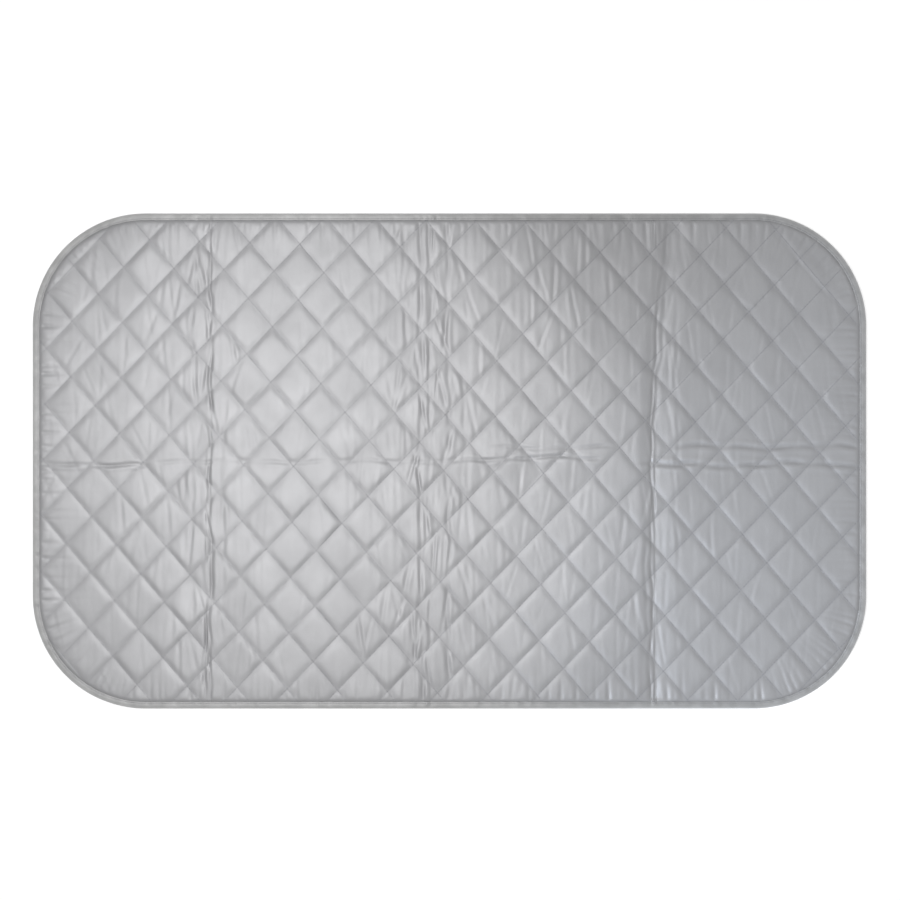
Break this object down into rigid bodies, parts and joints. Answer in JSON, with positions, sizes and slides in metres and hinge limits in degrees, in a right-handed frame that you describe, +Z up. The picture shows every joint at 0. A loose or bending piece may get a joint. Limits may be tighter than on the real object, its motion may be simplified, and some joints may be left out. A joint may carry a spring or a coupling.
{
  "type": "ironing pad",
  "caption": "Folding quilted ironing pad with a silver-coated face, wadding, cloth backing and a taped, round-cornered edge, laid flat on a table for ironing.",
  "frame": {"origin": "middle of the pad's outline, on the table that it lies on", "axes": "+X along the length to the right of the picture, +Y across to the far edge, +Z up out of the face"},
  "size_m": [0.85, 0.505, 0.005],
  "materials": {
    "silver_cloth": "aluminium-coated woven cloth, satin silver grey",
    "wadding": "white needled fibre wadding",
    "backing_cloth": "unbleached plain-weave cotton",
    "binding_tape": "silver-grey bias tape, folded over the edge and stitched"
  },
  "bodies": {
    "section_1": {"backing_cloth_1": "backing_cloth", "wadding_1": "wadding", "face_cloth_1": "silver_cloth", "end_binding_1": "binding_tape"},
    "section_2": {"backing_cloth_2": "backing_cloth", "wadding_2": "wadding", "face_cloth_2": "silver_cloth", "front_binding_2": "binding_tape", "back_binding_2": "binding_tape"},
    "section_3": {"backing_cloth_3": "backing_cloth", "wadding_3": "wadding", "face_cloth_3": "silver_cloth", "front_binding_3": "binding_tape", "back_binding_3": "binding_tape"},
    "section_4": {"backing_cloth_4": "backing_cloth", "wadding_4": "wadding", "face_cloth_4": "silver_cloth", "end_binding_4": "binding_tape"}
  },
  "joints": [
    {"name": "left_crease", "type": "hinge", "parent": "section_2", "child": "section_1", "pos_m": [-0.245, 0, 0.00525], "axis": [0, 1, 0], "range_deg": [0, 180]},
    {"name": "middle_crease", "type": "hinge", "parent": "section_2", "child": "section_3", "pos_m": [-0.024, 0, 0.01075], "axis": [0, -1, 0], "range_deg": [0, 180]},
    {"name": "right_crease", "type": "hinge", "parent": "section_3", "child": "section_4", "pos_m": [0.208, 0, 0.00525], "axis": [0, -1, 0], "range_deg": [0, 180]}
  ]
}
